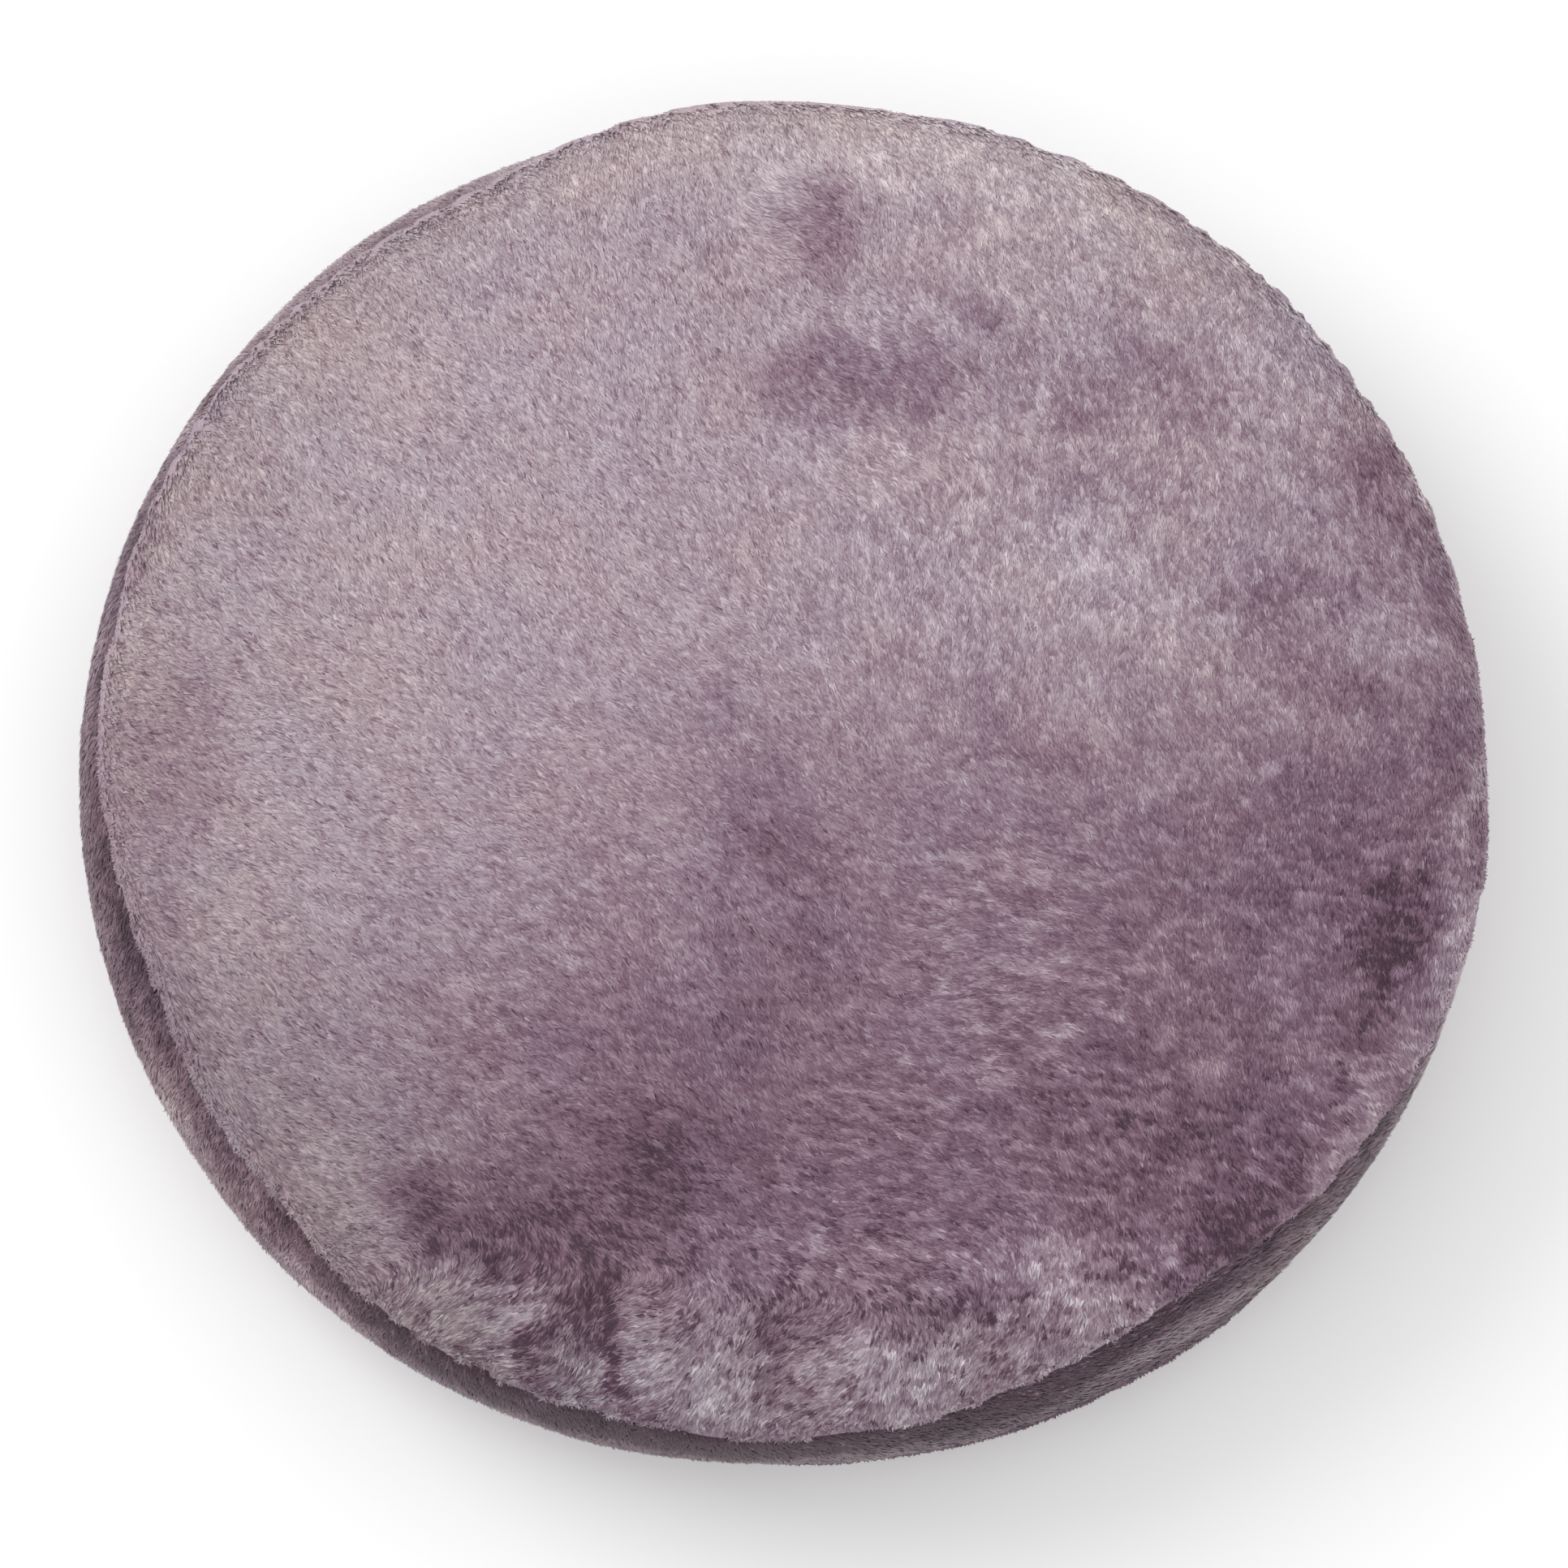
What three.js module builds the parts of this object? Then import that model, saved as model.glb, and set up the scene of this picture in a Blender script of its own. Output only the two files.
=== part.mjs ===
// Round throw pillow in lilac plush, lying on its back.
//
// The cover is a round top panel, a side band and a round bottom panel, joined by two seams and
// filled firmly, so it is one solid body: a low crown, two seams that draw the sides in, a band
// that swells between them, and a flat base where the pillow rests. The body reaches to the tips
// of the pile. Millimetres, +Z up, origin at the middle of the base, -Y towards the viewer.

import * as THREE from "three";

// Driving sizes
const THICKNESS = 92; // base to the middle of the crown
const SHOULDER_INSET = 30; // from the top panel's edge in to where the crown starts
const SHOULDER_HEIGHT = 86;
const TOP_EDGE_HEIGHT = 76; // the top panel is widest here
const TOP_SEAM_HEIGHT = 68;
const BAND_HEIGHT = 42; // the side band is fullest here
const LOW_SEAM_HEIGHT = 19;
const LOW_EDGE_HEIGHT = 10; // the bottom panel is widest here
const BASE_INSET = 30; // from the bottom panel's edge in to the flat base
const CROWN_POWER = 2.4; // how flat the crown is in the middle

// How fully the panels roll over at their edges: where the two handles of each curve stand, as
// steps out and up from the panel's widest point, or in from it along the base
const TOP_ROLL = { seamOut: 5, seamUp: -3, crownOut: -2, crownUp: 8 };
const LOW_ROLL = { baseIn: 7, seamOut: 1.5, seamUp: -4.5 };

// The uneven rim, one row every 20 degrees from +X towards +Y, as radii: the top panel's edge,
// the upper seam, the band at its fullest, the lower seam, and the bottom panel's edge.
const RIM = [
  { azimuth: 0, topEdge: 195.5, topSeam: 190.5, band: 198.5, lowSeam: 192, lowEdge: 196 },
  { azimuth: 20, topEdge: 195, topSeam: 190, band: 198, lowSeam: 192, lowEdge: 196 },
  { azimuth: 40, topEdge: 194.5, topSeam: 189.5, band: 198.8, lowSeam: 191.5, lowEdge: 195.5 },
  { azimuth: 60, topEdge: 193.5, topSeam: 188.5, band: 197, lowSeam: 190, lowEdge: 194 },
  { azimuth: 80, topEdge: 191.5, topSeam: 186.5, band: 196, lowSeam: 190, lowEdge: 194 },
  { azimuth: 100, topEdge: 192, topSeam: 187, band: 197, lowSeam: 190, lowEdge: 194 },
  { azimuth: 120, topEdge: 187.5, topSeam: 183, band: 201, lowSeam: 192, lowEdge: 195 },
  { azimuth: 140, topEdge: 191.5, topSeam: 186.5, band: 202, lowSeam: 193, lowEdge: 196 },
  { azimuth: 160, topEdge: 193, topSeam: 188, band: 201.5, lowSeam: 194, lowEdge: 197 },
  { azimuth: 180, topEdge: 192.5, topSeam: 187.5, band: 201, lowSeam: 194.5, lowEdge: 197.5 },
  { azimuth: 200, topEdge: 188.5, topSeam: 183.5, band: 199, lowSeam: 194, lowEdge: 197 },
  { azimuth: 220, topEdge: 190, topSeam: 185, band: 198, lowSeam: 192.5, lowEdge: 196.6 },
  { azimuth: 240, topEdge: 194.5, topSeam: 189, band: 198, lowSeam: 192, lowEdge: 196 },
  { azimuth: 260, topEdge: 194.5, topSeam: 189, band: 196, lowSeam: 191.5, lowEdge: 195.8 },
  { azimuth: 280, topEdge: 193.5, topSeam: 188, band: 195, lowSeam: 192.2, lowEdge: 196.6 },
  { azimuth: 300, topEdge: 189, topSeam: 183.5, band: 195.5, lowSeam: 194.6, lowEdge: 199.4 },
  { azimuth: 320, topEdge: 193.5, topSeam: 188, band: 197.5, lowSeam: 195.4, lowEdge: 199.8 },
  { azimuth: 340, topEdge: 198, topSeam: 192.5, band: 198.5, lowSeam: 193, lowEdge: 197 },
];
const ROW_STEP = 360 / RIM.length;

// The filling pulls the seams into small uneven puckers.
const PUCKERS = [
  { count: 13, depth: 0.7, turn: 0.6 },
  { count: 21, depth: 0.5, turn: 2.1 },
];

// Soft hollows that hands have left in the top, and low swells between them. The turn is that of
// the long side from +X, and a negative depth is a swell.
const HOLLOWS = [
  { name: "pressed spot at the far side", x: 12, y: 153, length: 44, width: 24, turn: 80, depth: 2.2 },
  { name: "drag behind the pressed spot", x: -2, y: 112, length: 80, width: 46, turn: 65, depth: 1.2 },
  { name: "swirl at the near left", x: -84, y: -128, length: 90, width: 34, turn: -18, depth: 2.0 },
  { name: "first crease at the near edge", x: -66, y: -161, length: 46, width: 14, turn: 78, depth: 2.6 },
  { name: "second crease at the near edge", x: -46, y: -168, length: 40, width: 12, turn: 84, depth: 2.4 },
  { name: "swell between the creases", x: -56, y: -164, length: 40, width: 14, turn: 80, depth: -0.8 },
  { name: "tuft swell at the near middle", x: -6, y: -158, length: 50, width: 34, turn: 30, depth: -1.6 },
  { name: "tuft swell at the near right", x: 46, y: -150, length: 64, width: 34, turn: 20, depth: -1.6 },
  { name: "hollow between the swells", x: 20, y: -160, length: 30, width: 14, turn: 80, depth: 1.2 },
  { name: "hollow at the near right edge", x: 112, y: -122, length: 80, width: 30, turn: 50, depth: 2.0 },
  { name: "sunk middle", x: 4, y: 0, length: 130, width: 90, turn: 60, depth: 1.4 },
  { name: "worn patch at the right", x: 140, y: 20, length: 120, width: 60, turn: 80, depth: 1.6 },
];

// Fineness of the mesh
const AROUND = 108;
const STEPS = { lowSide: 5, band: 8, topEdge: 7, crown: 12 };

// One value of the rim at an azimuth in degrees, on a smooth curve through the rows.
function rimAt(azimuth, name) {
  const place = azimuth / ROW_STEP;
  const row = Math.floor(place);
  const t = place - row;
  const [a, b, c, d] = [-1, 0, 1, 2].map((k) => RIM[(row + k + RIM.length) % RIM.length][name]);
  return b + 0.5 * t * (c - a + t * (2 * a - 5 * b + 4 * c - d + t * (3 * (b - c) + d - a)));
}

function puckerAt(azimuth) {
  const angle = THREE.MathUtils.degToRad(azimuth);
  return PUCKERS.reduce((sum, p) => sum + p.depth * Math.sin(p.count * angle + p.turn), 0);
}

// The depth of all hollows together at a point of the top.
function hollowAt(x, y) {
  return HOLLOWS.reduce((sum, h) => {
    const turn = THREE.MathUtils.degToRad(h.turn);
    const along = (x - h.x) * Math.cos(turn) + (y - h.y) * Math.sin(turn);
    const across = (y - h.y) * Math.cos(turn) - (x - h.x) * Math.sin(turn);
    const far = ((2 * along) / h.length) ** 2 + ((2 * across) / h.width) ** 2;
    return sum + h.depth * Math.exp(-far);
  }, 0);
}

// A quadratic curve from one point to another that passes its middle through a third.
function bulge(from, middle, to) {
  const handle = middle.clone().multiplyScalar(2).sub(from.clone().add(to).multiplyScalar(0.5));
  return new THREE.QuadraticBezierCurve(from, handle, to);
}

// The section of the pillow at one azimuth, from the middle of the base out and over to the
// crown, as points of radius and height. Every azimuth has the same number of points.
function sectionAt(azimuth) {
  const pucker = puckerAt(azimuth);
  const rim = (name) => rimAt(azimuth, name);
  const baseEdge = new THREE.Vector2(rim("lowEdge") - BASE_INSET, 0);
  const lowEdge = new THREE.Vector2(rim("lowEdge"), LOW_EDGE_HEIGHT);
  const lowSeam = new THREE.Vector2(rim("lowSeam") + pucker, LOW_SEAM_HEIGHT);
  const band = new THREE.Vector2(rim("band"), BAND_HEIGHT);
  const topSeam = new THREE.Vector2(rim("topSeam") - pucker, TOP_SEAM_HEIGHT);
  const topEdge = new THREE.Vector2(rim("topEdge"), TOP_EDGE_HEIGHT);
  const shoulder = new THREE.Vector2(rim("topEdge") - SHOULDER_INSET, SHOULDER_HEIGHT);

  const lowSide = new THREE.CubicBezierCurve(
    baseEdge,
    new THREE.Vector2(lowEdge.x - LOW_ROLL.baseIn, 0),
    new THREE.Vector2(lowEdge.x + LOW_ROLL.seamOut, lowEdge.y + LOW_ROLL.seamUp),
    lowSeam,
  );
  const topSide = new THREE.CubicBezierCurve(
    topSeam,
    new THREE.Vector2(topEdge.x + TOP_ROLL.seamOut, topEdge.y + TOP_ROLL.seamUp),
    new THREE.Vector2(topEdge.x + TOP_ROLL.crownOut, topEdge.y + TOP_ROLL.crownUp),
    shoulder,
  );
  const fall = THICKNESS - SHOULDER_HEIGHT;
  const crown = Array.from({ length: STEPS.crown + 1 }, (_, k) => {
    const share = 1 - k / STEPS.crown;
    return new THREE.Vector2(shoulder.x * share, THICKNESS - fall * share ** CROWN_POWER);
  });
  return [
    new THREE.Vector2(0, 0),
    ...lowSide.getPoints(STEPS.lowSide),
    ...bulge(lowSeam, band, topSeam).getPoints(STEPS.band).slice(1),
    ...topSide.getPoints(STEPS.topEdge).slice(1),
    ...crown.slice(1),
  ];
}

// The whole body: a lathe of the plain section, with each column then redrawn to the section of
// its own azimuth and the top pressed down by the hollows. The lathe turns about +Y, so the body
// is tipped up to stand along +Z, and then moved so that its box is centred on the origin.
function pillowGeometry() {
  const plain = sectionAt(0);
  const geometry = new THREE.LatheGeometry(plain, AROUND);
  const place = geometry.getAttribute("position");
  const crownRow = plain.length - STEPS.crown - STEPS.topEdge;
  for (let column = 0; column <= AROUND; column++) {
    const azimuth = ((column % AROUND) * 360) / AROUND;
    const angle = THREE.MathUtils.degToRad(azimuth);
    sectionAt(azimuth).forEach((point, row) => {
      const x = point.x * Math.cos(angle);
      const y = point.x * Math.sin(angle);
      const pressed = row >= crownRow ? hollowAt(x, y) : 0;
      place.setXYZ(column * plain.length + row, x, point.y - pressed, -y);
    });
  }
  geometry.rotateX(Math.PI / 2);
  geometry.computeBoundingBox();
  const middle = geometry.boundingBox.getCenter(new THREE.Vector3());
  geometry.translate(-middle.x, -middle.y, 0);
  geometry.computeVertexNormals();
  return geometry;
}

const plush = new THREE.MeshStandardMaterial({
  name: "plush",
  color: new THREE.Color("#9c8495"),
  roughness: 0.95,
  metalness: 0,
});

const cushion = new THREE.Mesh(pillowGeometry(), plush);
cushion.name = "cushion";

const pillow = new THREE.Group();
pillow.add(cushion);

export default pillow;
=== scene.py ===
import math

import bpy
import numpy as np
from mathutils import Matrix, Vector
from mathutils.bvhtree import BVHTree


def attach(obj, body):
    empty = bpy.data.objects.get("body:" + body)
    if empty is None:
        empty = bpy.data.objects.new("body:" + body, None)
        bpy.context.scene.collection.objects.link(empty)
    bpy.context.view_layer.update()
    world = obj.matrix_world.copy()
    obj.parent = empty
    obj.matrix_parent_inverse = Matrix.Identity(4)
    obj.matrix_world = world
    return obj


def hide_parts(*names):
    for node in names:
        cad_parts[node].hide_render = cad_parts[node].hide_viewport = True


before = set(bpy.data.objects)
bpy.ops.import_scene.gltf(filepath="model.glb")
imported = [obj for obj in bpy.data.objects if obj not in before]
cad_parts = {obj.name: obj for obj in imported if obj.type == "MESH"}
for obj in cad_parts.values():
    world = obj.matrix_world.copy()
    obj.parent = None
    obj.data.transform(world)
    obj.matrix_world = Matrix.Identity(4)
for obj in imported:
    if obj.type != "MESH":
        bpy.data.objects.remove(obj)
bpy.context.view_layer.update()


# Cover and filling. The plush cover is drawn tight over its fibre filling: a top panel, a side
# band and a bottom panel, joined by two plain seams that draw the cloth in. The cloth lies under
# the pile, so it starts inside the solid by the depth of the pile, and the filling then swells it.
PILE_ROOM = 0.0008  # from the tips of the pile in to where it is too thick to see into
PUFF = 0.0022  # how far the filling swells the cloth
LEAST_PUFF = 0.8  # the share of it that every point of the cloth has
SLACK = 0.0002  # how far the swollen cloth may stand off from its depth under the pile
BASE = {"room": 0.0010, "drop": 0.0002, "reach": 0.022}  # under the pillow the pile is pressed flat
VOXEL = 0.0056  # how fine the cloth's own mesh is
STUFFING = {"pressure": 4.0, "quality": 4, "frames": 20, "evenings": 6}
UPPER_SEAM = {"height": 0.0680, "depth": 0.0036, "half": 0.0028}
LOWER_SEAM = {"height": 0.0190, "depth": 0.0026, "half": 0.0028}
STITCHES = {"uneven": 0.35, "size": 0.012, "seed": 11}
RIM_FROM = 0.15  # the radius past which the seams are

bpy.ops.object.select_all(action="DESELECT")
cover = bpy.data.objects.new("plush_cover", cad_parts["cushion"].data.copy())
bpy.context.scene.collection.objects.link(cover)
cover.select_set(True)
bpy.context.view_layer.objects.active = cover
bpy.ops.object.mode_set(mode="EDIT")
bpy.ops.mesh.select_all(action="SELECT")
bpy.ops.mesh.remove_doubles(threshold=0.00001)
bpy.ops.object.mode_set(mode="OBJECT")


def places(mesh):
    flat = np.empty(len(mesh.vertices) * 3)
    mesh.vertices.foreach_get("co", flat)
    return flat.reshape(-1, 3)


def set_places(mesh, points):
    mesh.vertices.foreach_set("co", points.ravel())
    mesh.update()


def outward(mesh):
    flat = np.empty(len(mesh.vertices) * 3)
    mesh.vertices.foreach_get("normal", flat)
    return flat.reshape(-1, 3)


set_places(cover.data, places(cover.data) - outward(cover.data) * (PILE_ROOM + PUFF))

remesh = cover.modifiers.new("even cloth", "REMESH")
remesh.mode = "VOXEL"
remesh.voxel_size = VOXEL
bpy.ops.object.modifier_apply(modifier=remesh.name)

slack, facing_out = places(cover.data), outward(cover.data)
stuffing = cover.modifiers.new("stuffing", "CLOTH")
stuffing.settings.quality = STUFFING["quality"]
stuffing.settings.use_pressure = True
stuffing.settings.uniform_pressure_force = STUFFING["pressure"]
stuffing.settings.effector_weights.gravity = 0.0
stuffing.point_cache.frame_start = 1
stuffing.point_cache.frame_end = STUFFING["frames"]
for step in range(STUFFING["frames"]):
    bpy.context.scene.frame_set(step + 1)
swollen = cover.evaluated_get(bpy.context.evaluated_depsgraph_get())
swell = ((places(swollen.data) - slack) * facing_out).sum(axis=1, keepdims=True)
ends = np.empty(len(cover.data.edges) * 2, dtype=np.int64)
cover.data.edges.foreach_get("vertices", ends)
one, other = np.concatenate([ends[::2], ends[1::2]]), np.concatenate([ends[1::2], ends[::2]])
beside = np.bincount(one, minlength=len(slack))[:, None]
for _ in range(STUFFING["evenings"]):  # firm filling evens the swelling out
    swell = np.bincount(one, weights=swell[other, 0], minlength=len(slack))[:, None] / beside
swell = LEAST_PUFF * PUFF + (1.0 - LEAST_PUFF) * np.clip(swell, 0.0, PUFF)
cover.modifiers.remove(stuffing)
bpy.context.scene.frame_set(1)
set_places(cover.data, slack + facing_out * swell)

smooth = cover.modifiers.new("smooth cloth", "SUBSURF")
smooth.levels = 1
smooth.render_levels = 1
bpy.ops.object.modifier_apply(modifier=smooth.name)


def settle(points):
    """The points, held at the depth of the pile under the solid's surface, give or take the slack."""
    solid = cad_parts["cushion"].data
    solid.calc_loop_triangles()
    faces = [tuple(t.vertices) for t in solid.loop_triangles]
    tree = BVHTree.FromPolygons([v.co for v in solid.vertices], faces)
    held = points.copy()
    for number, point in enumerate(points):
        near, normal, _, far = tree.find_nearest(Vector(point))
        if (Vector(point) - near).dot(normal) > 0:
            far = -far
        depth = min(max(far, PILE_ROOM - SLACK), PILE_ROOM + SLACK)
        inward = (Vector(point) - near) / far if abs(far) > PILE_ROOM else -normal
        held[number] = near + inward * depth
    return held


def rising(value, start, end):
    """0 up to the start and 1 past the end, rising evenly between them."""
    return np.clip((value - start) / (end - start), 0.0, 1.0)


def about(value, middle, half):
    """1 at the middle, fading softly to 0 on both sides of it."""
    return np.exp(-(((value - middle) / half) ** 2))


def azimuth_of(points):
    """The way each point lies from the middle of the pillow, in degrees from +X towards +Y."""
    return np.degrees(np.arctan2(points[:, 1], points[:, 0])) % 360


def soft_noise(points, size, seed):
    """Smooth noise from -1 to 1 whose lumps are about this size."""
    table = np.random.default_rng(seed).uniform(-1.0, 1.0, 8192)
    cell = points / size
    base = np.floor(cell).astype(np.int64)
    t = cell - base
    t = t * t * (3.0 - 2.0 * t)
    total = np.zeros(len(points))
    for corner in np.ndindex(2, 2, 2):
        step = np.array(corner)
        x, y, z = (base + step).T
        key = ((x * 73856093) ^ (y * 19349663) ^ (z * 83492791)) & 8191
        total += np.prod(np.where(step, t, 1.0 - t), axis=1) * table[key]
    return total


# The two seams pull the cloth in, a little unevenly from stitch to stitch
cloth = settle(places(cover.data))
radius = np.linalg.norm(cloth[:, :2], axis=1, keepdims=True)
towards = cloth[:, :2] / np.maximum(radius, 1e-6)
at_rim = (radius[:, 0] > RIM_FROM).astype(float)
seam_share = np.zeros(len(cloth))
for seam in (UPPER_SEAM, LOWER_SEAM):
    pull = about(cloth[:, 2], seam["height"], seam["half"]) * at_rim
    uneven = 1.0 + STITCHES["uneven"] * soft_noise(cloth, STITCHES["size"], STITCHES["seed"])
    cloth[:, :2] -= towards * (pull * seam["depth"] * uneven)[:, None]
    seam_share = np.maximum(seam_share, pull)
resting = rising(cloth[:, 2], BASE["reach"], 0.0)
cloth[:, 2] = np.maximum(cloth[:, 2] - BASE["drop"] * resting, BASE["room"])
set_places(cover.data, cloth)
cover.data.shade_smooth()
cover.data.attributes.new("seam", "FLOAT", "POINT").data.foreach_set("value", seam_share)


def new_material(name):
    """A node material, and its shader."""
    made = bpy.data.materials.new(name)
    made.use_nodes = True
    return made, made.node_tree.nodes["Principled BSDF"]


def add_node(tree, kind, **settings):
    made = tree.nodes.new(kind)
    for key, value in settings.items():
        setattr(made, key, value)
    return made


def ramp(tree, factor, stops):
    """A colour ramp fed by a factor, with its stops as (place, colour)."""
    made = tree.nodes.new("ShaderNodeValToRGB")
    elements = made.color_ramp.elements
    for element, (place, colour) in zip(elements, (stops[0], stops[-1])):
        element.position, element.color = place, (*colour, 1)
    for place, colour in stops[1:-1]:
        elements.new(place).color = (*colour, 1)
    tree.links.new(factor, made.inputs["Fac"])
    return made


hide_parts("cushion")
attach(cover, "root")


# Pile of the top panel. The panel is short plush whose strands all lean one way, down to the
# right, except where hands have brushed them. Strands that lie flat look pale, and strands that
# stand up show the deep mauve between them; this sheen and shade is painted into their tone as well.
# They are laid in six pieces that mix with each other.
TOP_STRANDS = {"pieces": 6, "each": 48000, "length": 0.0046, "width": 0.00056}
TOP_SEED = 41
TOP_FROM = 0.06  # the cloth higher than this is the top panel's


def rows_of(names, rows):
    """The rows of a table, each with the names of its columns."""
    return [dict(zip(names.split(), row, strict=True)) for row in rows]


# How the nap leans at marks on the panel, in millimetres: the way the strands point from +X
# towards +Y, how far the mark reaches, how flat they lie, from 0 standing to 1 flat, and how
# ruffled they are, from 0 combed to 1 in small pale and deep tufts.
NAP = rows_of("at x y reach turn lie ruffle", (
    ("far left", -150, 93, 60, -48, 0.85, 0.15),
    ("left of the middle", -82, 70, 60, -58, 0.85, 0.15),
    ("left edge", -159, -12, 50, -24, 0.85, 0.2),
    ("near left", -145, -102, 45, -34, 0.9, 0.25),
    ("near left rim", -114, -135, 22, -6, 0.9, 0.3),
    ("far middle", -26, 146, 45, -70, 0.8, 0.2),
    ("left of the spot", 1, 152, 9, -25, 0.7, 0.5),
    ("far right", 72, 134, 50, -78, 0.65, 0.6),
    ("right of the middle", 98, 65, 45, -94, 0.65, 0.8),
    ("inner right", 33, 98, 20, -42, 0.6, 0.7),
    ("far right rim", 144, 98, 35, -88, 0.6, 0.8),
    ("middle", -3, -5, 34, -60, 0.6, 0.6),
    ("right of the middle, near", 75, 25, 36, -92, 0.65, 0.75),
    ("right", 111, 0, 34, -78, 0.55, 0.75),
    ("inner near right", 66, -30, 34, -36, 0.6, 0.75),
    ("left of the middle, near", -39, -14, 36, -26, 0.75, 0.45),
    ("near the middle", -14, -71, 32, -62, 0.55, 0.5),
    ("near, left of the middle", -58, -98, 30, -32, 0.7, 0.5),
    ("brushed across", 63, -64, 20, -8, 0.6, 0.9),
    ("right edge", 150, -23, 40, -94, 0.5, 0.8),
    ("right rim", 183, -42, 22, -100, 0.6, 1.0),
    ("near right", 131, -82, 38, -80, 0.5, 0.8),
    ("inner near edge", 45, -113, 36, -18, 0.6, 0.85),
    ("outer near right", 95, -124, 30, -72, 0.5, 1.0),
    ("swirl", -85, -131, 18, -50, 0.45, 0.6),
    ("below the swirl", -79, -155, 13, -152, 0.9, 0.5),
    ("left below the swirl", -100, -158, 9, -142, 0.9, 0.45),
    ("left of the first crease", -74, -172, 12, -172, 0.9, 0.4),
    ("between the creases", -55, -165, 8, -115, 0.4, 0.5),
    ("right of the second crease", -36, -167, 9, -165, 0.9, 0.6),
    ("right of the crease, near", -37, -179, 8, -150, 0.9, 0.6),
    ("first tuft", -17, -176, 11, -118, 0.8, 0.6),
    ("second tuft", 10, -176, 12, -154, 0.85, 0.7),
    ("third tuft", 36, -179, 12, -92, 0.75, 0.8),
    ("fourth tuft", 57, -177, 11, -122, 0.8, 0.8),
    ("fifth tuft", 73, -157, 14, -106, 0.7, 1.0),
    ("sixth tuft", 101, -146, 14, -66, 0.7, 1.0),
    ("near right rim", 143, -125, 14, -55, 0.7, 1.0),
    ("right rim, near", 161, -104, 14, -48, 0.7, 1.0),
))
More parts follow.
